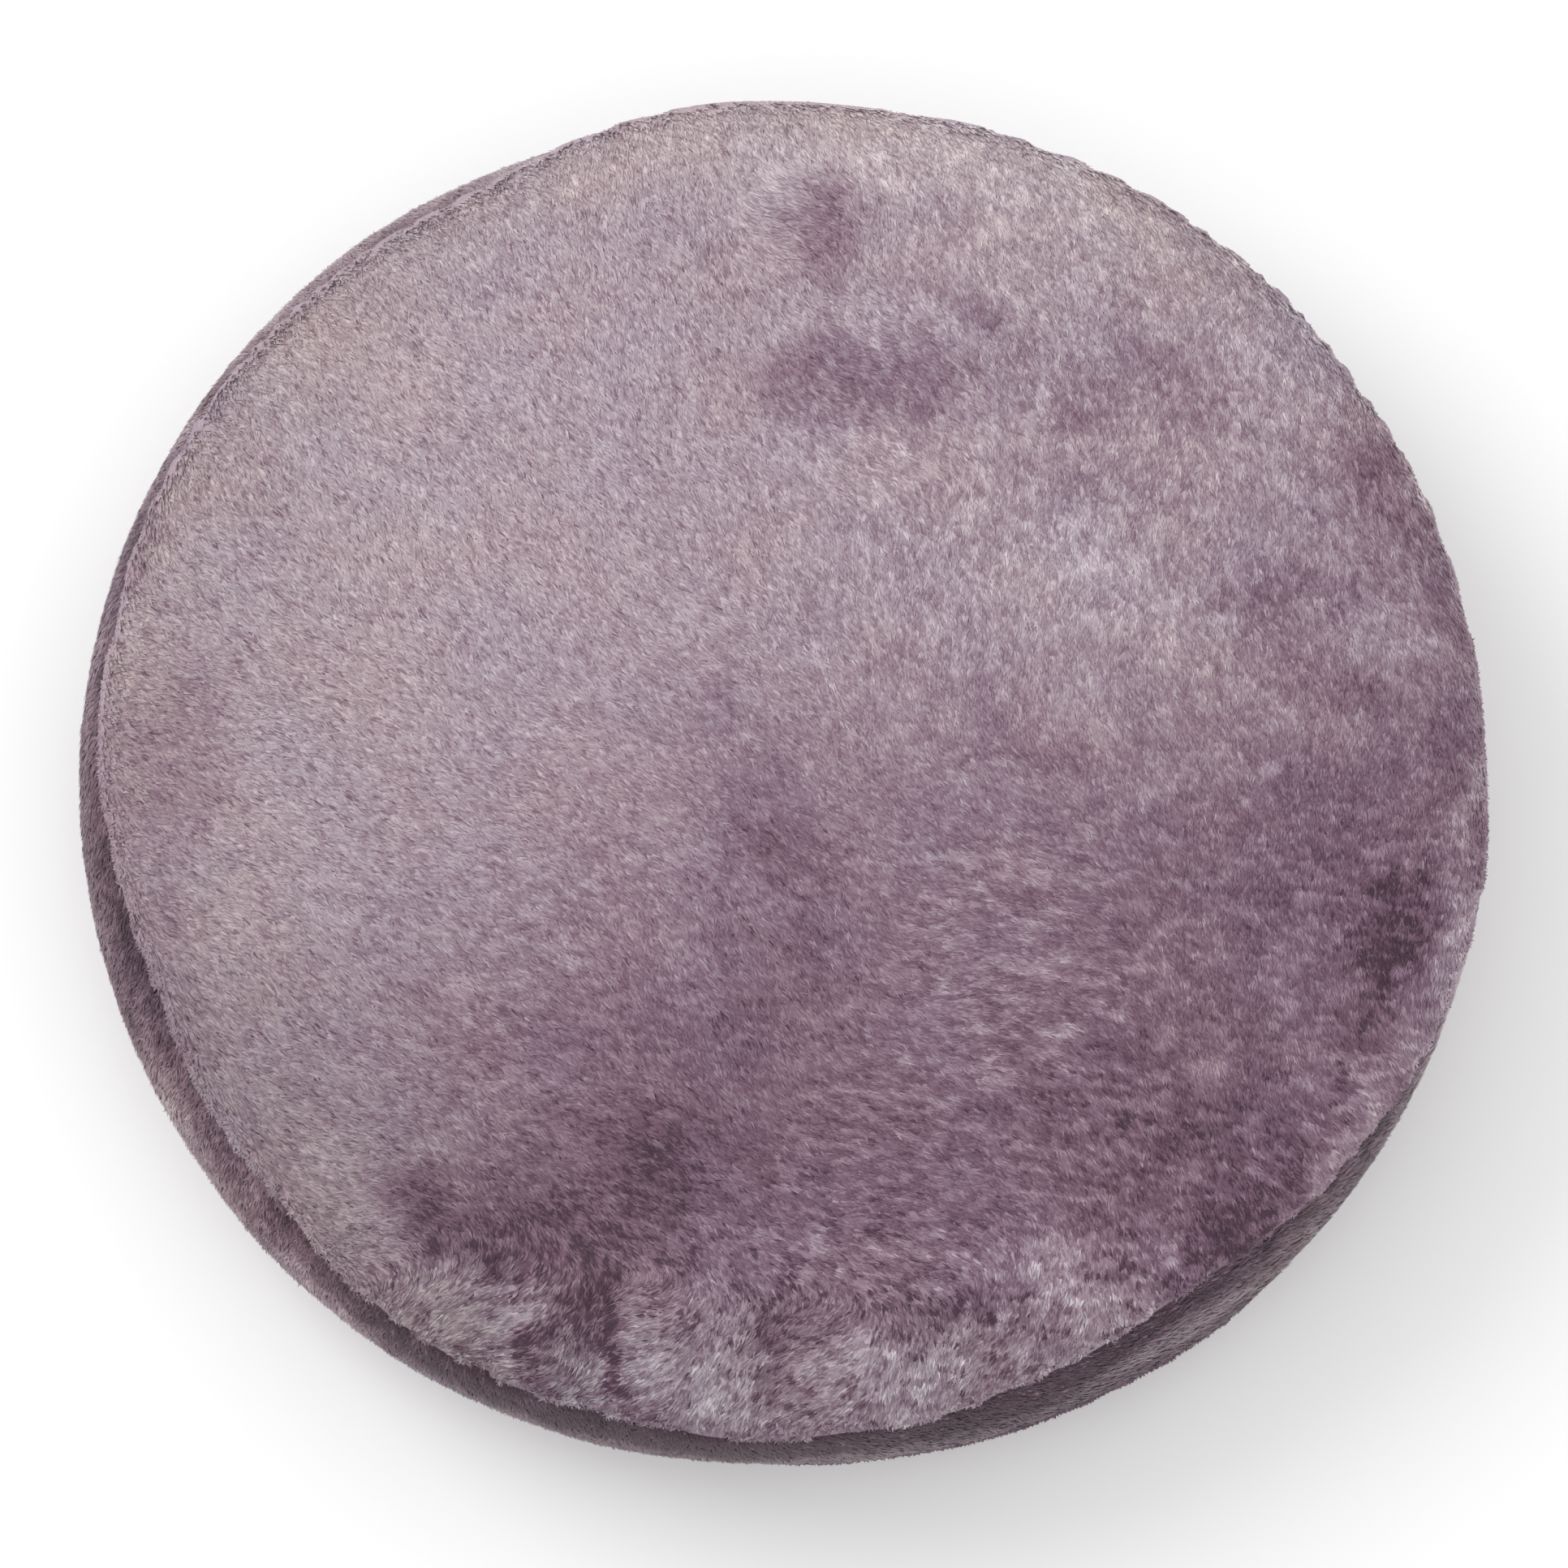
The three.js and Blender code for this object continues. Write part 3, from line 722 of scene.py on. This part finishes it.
def greyed_and_yellowed(x, y, azimuth, tone):
    """How faded and how yellowed the strands of the top panel are, most of all the pale ones."""
    left = rising(x, -0.05, -0.14)
    near = FADED["near"] * rising(y, -0.09, -0.13) * rising(x, 0.01, -0.05)
    near = near + FADED["near_rim"] * rising(y, -0.146, -0.171)
    near = near + FADED["near_left"] * left * rising(y, -0.03, -0.08)
    faded = FADED["left"] * left * rising(tone, 0.15, 0.50) + near * rising(tone, -0.15, 0.25)
    rim = rising(np.hypot(x, y), 0.150, 0.180) * rising(azimuth, 42, 56) * rising(azimuth, 262, 232)
    warmed = YELLOWED["left"] * left + YELLOWED["rim"] * rim
    return faded, np.clip(warmed, 0.0, 1.0) * rising(tone, 0.02, 0.42)


for number in range(TOP_STRANDS["pieces"]):
    rng = np.random.default_rng(TOP_SEED + number)
    at, up = roots_between(UPPER_SEAM["height"] - HANG, 1.0, TOP_STRANDS["each"], rng)
    x, y = at[:, 0], at[:, 1]
    count = len(at)
    flat = at * [1, 1, 0]
    azimuth = azimuth_of(at)
    turn, lie, ruffle = nap_field(x, y)
    turn = turn + mottle(flat, SWAY, ruffle) + mottle(flat, WANDER, ruffle) + rng.normal(0.0, 0.14, count)
    clump = 0.3 * soft_noise(flat * [1.0, 1.3, 1.0], 0.006, 7) + tufts_at(x, y)
    tone = brushed_and_shaded_tone(x, y) + (CLUMPS["combed"] + CLUMPS["ruffled"] * ruffle) * clump
    tone = tone + mottle(flat, SPECKS, ruffle)

    # At the near edge the pile is painted in locks with painted shade in the gaps between them, and where
    # it is combed it has fine dashes of painted shade
    locks = rising(y, -0.125, -0.155)
    lock_shade = LOCKS["broad"] * np.tanh(2.2 * soft_noise(flat, 0.0042, 13))
    lock_shade = lock_shade + LOCKS["fine"] * soft_noise(flat, 0.0016, 14)
    gaps = rising(soft_noise(flat, 0.0010, 15), 0.12, 0.37)
    tone = tone + locks * (lock_shade + LOCKS["paler"] - LOCKS["gaps"] * gaps)
    dashes = rising(soft_noise(drawn_out(x, y, (0.64, -0.77), (0.4, 1.0)), 0.0009, 12), 0.22, 0.52)
    strays = (rng.uniform(size=count) < STRAYS["share"]) * rng.uniform(0.4, 1.0, count)
    tone = tone + 0.015 - (DASHES * dashes + STRAYS["deeper"] * strays) * (1.0 - ruffle)
    tone = tone + (0.03 * ruffle + 0.05 * locks) * rng.normal(size=count)
    frost = ruffle * np.clip(0.7 * clump - 0.1, 0.0, 0.4)
    lie = np.clip(lie + 0.15 * clump * ruffle, 0.1, 1.0)

    # Over the edge more and more of the strands point out and down instead, towards the seam, and
    # right on the edge they lie across one another
    over = rising(up[:, 2], TOP_ROLL["from"], TOP_ROLL["to"])
    crossing = 4.0 * over * (1.0 - over)
    hangs = rng.uniform(size=count) < over
    lean = np.stack([np.cos(turn), np.sin(turn), np.zeros(count)], axis=1)
    out = flat / np.linalg.norm(flat, axis=1, keepdims=True)
    astray = rng.normal(0.0, HANGING["astray"], count) * (1.0 + HANGING["crossing"] * crossing)
    out = out + np.cross(out, [0, 0, 1]) * astray[:, None] - [0, 0, HANGING["down"]]
    lean = np.where(hangs[:, None], out, lean)
    lie = np.where(hangs, rng.uniform(0.1, 0.9, count), lie * (1.0 - over) + over)
    hidden = rising(at[:, 2], 0.0732, 0.0702)  # tucked in towards the seam
    left, far_left = about(azimuth, 185, 30), about(azimuth, 135, 26)
    # painted shade on the strands that turn over the edge at the left and far left, and deeper painted
    # shade on those tucked under the edge towards the seam
    tone = tone - over * (EDGE_SHADE["left"] * left + EDGE_SHADE["far_left"] * far_left)
    shade_under_edge = EDGE_SHADE["under"] - EDGE_SHADE["near"] * about(azimuth, 272, 34)
    tone = tone * (1.0 - hidden) + shade_under_edge * hidden
    combed = rising(y, -0.02, 0.06)  # the far rim is smoother
    parting = crossing * (1.0 - 0.6 * combed)
    rises = (
        TOP_RISE["root"] - TOP_RISE["lying"] * lie + 9 * parting - 2 * hangs,
        TOP_RISE["tip"] - TOP_RISE["lying"] * lie + 5 * parting - (3 + 2 * combed) * hangs,
    )
    rises = [np.radians(rise + rng.normal(0.0, TOP_RISE["spread"], count)) for rise in rises]
    length = TOP_STRANDS["length"] * (1.0 - 0.28 * ruffle) * (1.0 - 0.3 * parting)
    length = length * rng.uniform(*UNLIKE["length"], count) * (1.0 - (0.10 + 0.35 * combed) * hangs)
    width = TOP_STRANDS["width"] * (1.0 + 0.3 * ruffle) * (1.0 - 0.15 * hangs) * (1.0 + 0.45 * crossing)
    width = width * rng.uniform(*UNLIKE["width"], count)
    faded, warmed = greyed_and_yellowed(x, y, azimuth, tone)
    shades = {"tone": tone, "frost": frost, "faded": faded, "warmed": warmed}
    lay_strands(f"top_pile_{number + 1}", at, up, lean, rises, (length, width), shades, rng, top_plush)


# Pile of the side band. The band is cut from the same plush. Its nap runs round the pillow and
# down, and it is deeper in shade and lies flatter just under the upper seam.
BAND_STRANDS = {"pieces": 2, "each": 50000, "length": 0.0046, "width": 0.00062}
BAND_SEED = 71
BAND_RISE = {"root": 28, "tip": 16, "spread": 4.0}

# How the band's nap leans and how it is shaded, by azimuth from +X towards +Y. The turn is from
# the way round the pillow (0) towards straight up (90), so -90 points straight down.
BAND_NAP = rows_of("azimuth turn lie tone faded warmed", (
    (0, -60, 0.75, 0.46, 0.0, 0.0),
    (20, -65, 0.75, 0.60, 0.0, 0.1),
    (45, -70, 0.75, 0.56, 0.1, 0.2),
    (90, -80, 0.75, 0.58, 0.1, 0.5),
    (135, -70, 0.75, 0.40, 0.2, 0.6),
    (150, -60, 0.80, 0.34, 0.1, 0.6),
    (160, -60, 0.80, 0.12, 0.1, 0.6),
    (180, -50, 0.80, 0.13, 0.1, 0.6),
    (200, -60, 0.70, 0.13, 0.1, 0.7),
    (210, -75, 0.60, 0.42, 0.1, 1.0),
    (220, -80, 0.60, 0.25, 0.1, 0.8),
    (230, -80, 0.60, 0.28, 0.1, 0.6),
    (240, -85, 0.60, 0.02, 0.2, 0.3),
    (260, -75, 0.65, -0.03, 0.6, 0.3),
    (280, -40, 0.80, -0.02, 0.7, 0.4),
    (290, -30, 0.85, -0.08, 0.5, 0.3),
    (300, -15, 0.90, 0.04, 0.5, 0.5),
    (310, -15, 0.90, 0.06, 0.5, 0.5),
    (320, -20, 0.85, 0.04, 0.5, 0.5),
    (330, -30, 0.80, 0.06, 0.2, 0.3),
    (340, -40, 0.80, 0.50, 0.1, 0.2),
    (360, -60, 0.75, 0.46, 0.0, 0.0),
))

# A painted highlight, the pale line along the ridge of the fold that the band has at the near right:
# how pale, and how high up
BAND_FOLD_HIGHLIGHT = rows_of("azimuth pale height", (
    (240, 0.10, 0.022),
    (260, 0.05, 0.022),
    (280, 0.10, 0.022),
    (290, 0.10, 0.040),
    (300, 0.20, 0.050),
    (310, 0.17, 0.044),
    (320, 0.16, 0.028),
    (330, 0.05, 0.022),
    (340, 0.05, 0.022),
    (360, 0.10, 0.022),
))


def round_the_rim(azimuth, rows, names):
    """Columns of a table at any azimuth, changing evenly from row to row."""
    marks = [row["azimuth"] for row in rows]
    return [np.interp(azimuth, marks, [row[name] for row in rows]) for name in names.split()]


def clumps(points, seed):
    """Broad clumps of pile with smaller ones among them."""
    return soft_noise(points, 0.012, seed) + 0.7 * soft_noise(points, 0.005, seed + 1)


# How deep and how pale the band's pile gets: in its clumps, in its fine mottling, more of it where the
# band is tufted, in painted shade under the top panel's edge, more of that at the near side, and in
# painted shade below the fold
BAND_SHADE = {"clumps": 0.17, "fine": 0.14, "tufts": 0.20, "under": 0.18, "near": 0.24, "below": 0.16}
FOLD = {"half": 0.0018, "broader": 0.08, "low": 0.022, "below": (0.005, 0.008)}

band_plush = plush_material("plush_band", 0.66, 0.25)
for number in range(BAND_STRANDS["pieces"]):
    rng = np.random.default_rng(BAND_SEED + number)
    at, up = roots_between(LOWER_SEAM["height"], UPPER_SEAM["height"] - HANG, BAND_STRANDS["each"], rng)
    count, height = len(at), at[:, 2]
    azimuth = azimuth_of(at)
    turn, lie, tone, faded, warmed = round_the_rim(azimuth, BAND_NAP, "turn lie tone faded warmed")
    pale, fold_at = round_the_rim(azimuth, BAND_FOLD_HIGHLIGHT, "pale height")
    clump = clumps(at, 27)
    turn = np.radians(turn) + 0.35 * soft_noise(at, 0.018, 25) + 0.3 * soft_noise(at, 0.004, 26)
    turn = turn + rng.normal(0.0, 0.25, count)
    around = np.stack([-at[:, 1], at[:, 0], np.zeros(count)], axis=1)
    around /= np.linalg.norm(around, axis=1, keepdims=True)
    lean = around * np.cos(turn)[:, None] + np.array([[0.0, 0.0, 1.0]]) * np.sin(turn)[:, None]
    facing = about(azimuth, 268, 38)  # the near side, which is seen more from above
    tufted = about(azimuth, 222, 24)  # the near left, brushed into tufts
    # painted shade under the top panel's edge, deeper on the near side
    under = BAND_SHADE["under"] + BAND_SHADE["near"] * facing
    under = under * rising(height + 0.008 * facing, 0.054, 0.060)
    fine = (BAND_SHADE["fine"] + BAND_SHADE["tufts"] * tufted) * soft_noise(at, 0.0022, 29)
    tone = tone + (BAND_SHADE["clumps"] * clump + fine) * (1.0 - 0.4 * facing) - under
    # painted highlight along the ridge of the fold
    tone = tone + pale * about(height, fold_at, FOLD["half"] + FOLD["broader"] * (fold_at - FOLD["low"]))
    below = rising(height, *(fold_at - drop for drop in FOLD["below"]))  # painted shade below the fold's ridge
    tone = tone * (1.0 - below) - BAND_SHADE["below"] * below
    faded = faded * (1.0 - 0.8 * below) * rising(tone, -0.22, 0.14)
    lie = np.clip(lie + 0.12 * clump + 0.1 * under, 0.1, 1.0)
    rises = (BAND_RISE["root"] - 16 * lie + 4 * tufted, BAND_RISE["tip"] - 14 * lie + 3 * tufted)
    rises = [np.radians(rise + rng.normal(0.0, BAND_RISE["spread"], count)) for rise in rises]
    length = BAND_STRANDS["length"] * rng.uniform(*UNLIKE["length"], count)
    width = BAND_STRANDS["width"] * rng.uniform(*UNLIKE["width"], count)
    frost = 0.15 * np.clip(clump, 0.0, 1.0)
    shades = {"tone": tone, "frost": frost, "faded": faded, "warmed": warmed}
    lay_strands(f"band_pile_{number + 1}", at, up, lean, rises, (length, width), shades, rng, band_plush)


# Pile of the bottom panel. The same plush again. Round the edge below the lower seam it stands
# free, one strand beside another. Underneath, the pillow's weight presses it flat in broad locks.
EDGE_STRANDS = {"name": "edge_pile", "count": 36000, "length": 0.0036, "width": 0.00062}
BACK_STRANDS = {"name": "back_pile", "count": 24000, "length": 0.0062, "width": 0.00190}
BACK_SEED = 91
BACK_RISE = {"root": (11, -2, 2.5), "tip": (-1, 1, 2.0)}  # standing free, more where pressed, spread
BACK_SHADE = {"tone": 0.42, "clumps": 0.16, "uneven": 0.08, "near": 0.54}
EDGE_INSET = 0.0042  # how high over the floor the free pile starts
back_plush = plush_material("plush_back", 0.66, 0.2)
for number, kind in enumerate((EDGE_STRANDS, BACK_STRANDS)):
    rng = np.random.default_rng(BACK_SEED + number)
    low, high = (EDGE_INSET, LOWER_SEAM["height"]) if kind is EDGE_STRANDS else (-1.0, EDGE_INSET)
    at, up = roots_between(low, high, kind["count"], rng)
    count = len(at)
    pressed = np.clip(-up[:, 2] * 1.3 - 0.1, 0.0, 1.0)
    flat = at * [1, 1, 0]
    turn = np.radians(-60) + 0.35 * soft_noise(flat, 0.03, 35) + rng.normal(0.0, 0.2, count)
    across = np.stack([np.cos(turn), np.sin(turn), np.zeros(count)], axis=1)
    out = flat / np.maximum(np.linalg.norm(flat, axis=1, keepdims=True), 1e-6)
    out = out + np.cross(out, [0, 0, 1]) * rng.normal(0.0, 0.5, count)[:, None] - [0, 0, 1.1]
    lean = across * pressed[:, None] + out * (1.0 - pressed)[:, None]
    clump = clumps(at, 37)
    shaded = about(azimuth_of(at), 288, 38) * (1.0 - pressed)
    uneven = BACK_SHADE["uneven"] * rng.normal(size=count) * (1.0 - pressed)
    tone = BACK_SHADE["tone"] + BACK_SHADE["clumps"] * clump + uneven - BACK_SHADE["near"] * shaded
    rises = [
        np.radians(free + more * pressed + rng.normal(0.0, spread, count))
        for free, more, spread in BACK_RISE.values()
    ]
    length = kind["length"] * rng.uniform(*UNLIKE["length"], count)
    width = kind["width"] * rng.uniform(*UNLIKE["width"], count)
    if kind is BACK_STRANDS:  # smaller where the underside curves up to the free edge
        share = 0.35 + 0.65 * pressed**2
        length, width = length * share, width * share
    unworn = np.zeros(count)
    shades = {"tone": tone, "frost": 0.10 * np.clip(clump, 0.0, 1.0), "faded": unworn, "warmed": unworn}
    lay_strands(kind["name"], at, up, lean, rises, (length, width), shades, rng, back_plush)


# The studio: a pale floor, a large soft light from the far left, a weak one from the right, and a
# camera high over the near side with a long lens.
bpy.ops.object.select_all(action="DESELECT")
bpy.ops.mesh.primitive_plane_add(size=8.0, location=(0, 0, 0))
floor = bpy.context.object
floor.name = "studio_floor"
pale, pale_shader = new_material("pale_floor")
pale_shader.inputs["Base Color"].default_value = (0.90, 0.90, 0.90, 1)
pale_shader.inputs["Roughness"].default_value = 0.9
floor.data.materials.append(pale)


def soft_light(name, place, size, power):
    lamp = bpy.data.lights.new(name, "AREA")
    lamp.shape = "DISK"
    lamp.size = size
    lamp.energy = power
    made = bpy.data.objects.new(name, lamp)
    bpy.context.scene.collection.objects.link(made)
    made.location = place
    made.rotation_euler = (Vector((0, 0, 0.04)) - Vector(place)).to_track_quat("-Z", "Y").to_euler()


soft_light("key_light", (-1.3, 0.7, 1.5), 1.3, 15)
soft_light("fill_light", (1.2, -1.4, 1.8), 1.8, 4)
sky = bpy.data.worlds.new("studio")
sky.use_nodes = True
sky.node_tree.nodes["Background"].inputs["Color"].default_value = (1, 1, 1, 1)
sky.node_tree.nodes["Background"].inputs["Strength"].default_value = 1.0
bpy.context.scene.world = sky
bpy.context.scene.view_settings.view_transform = "Standard"

AIM = Vector((0.00055, -0.0044, 0.042))
ELEVATION = math.radians(76)
DISTANCE = 1.3
camera = bpy.data.objects.new("camera", bpy.data.cameras.new("camera"))
bpy.context.scene.collection.objects.link(camera)
back_off = Vector((0, -math.cos(ELEVATION), math.sin(ELEVATION)))
camera.location = AIM + back_off * DISTANCE
camera.rotation_euler = (-back_off).to_track_quat("-Z", "Y").to_euler()
camera.data.lens = 105.4
camera.data.sensor_width = 36
bpy.context.scene.camera = camera
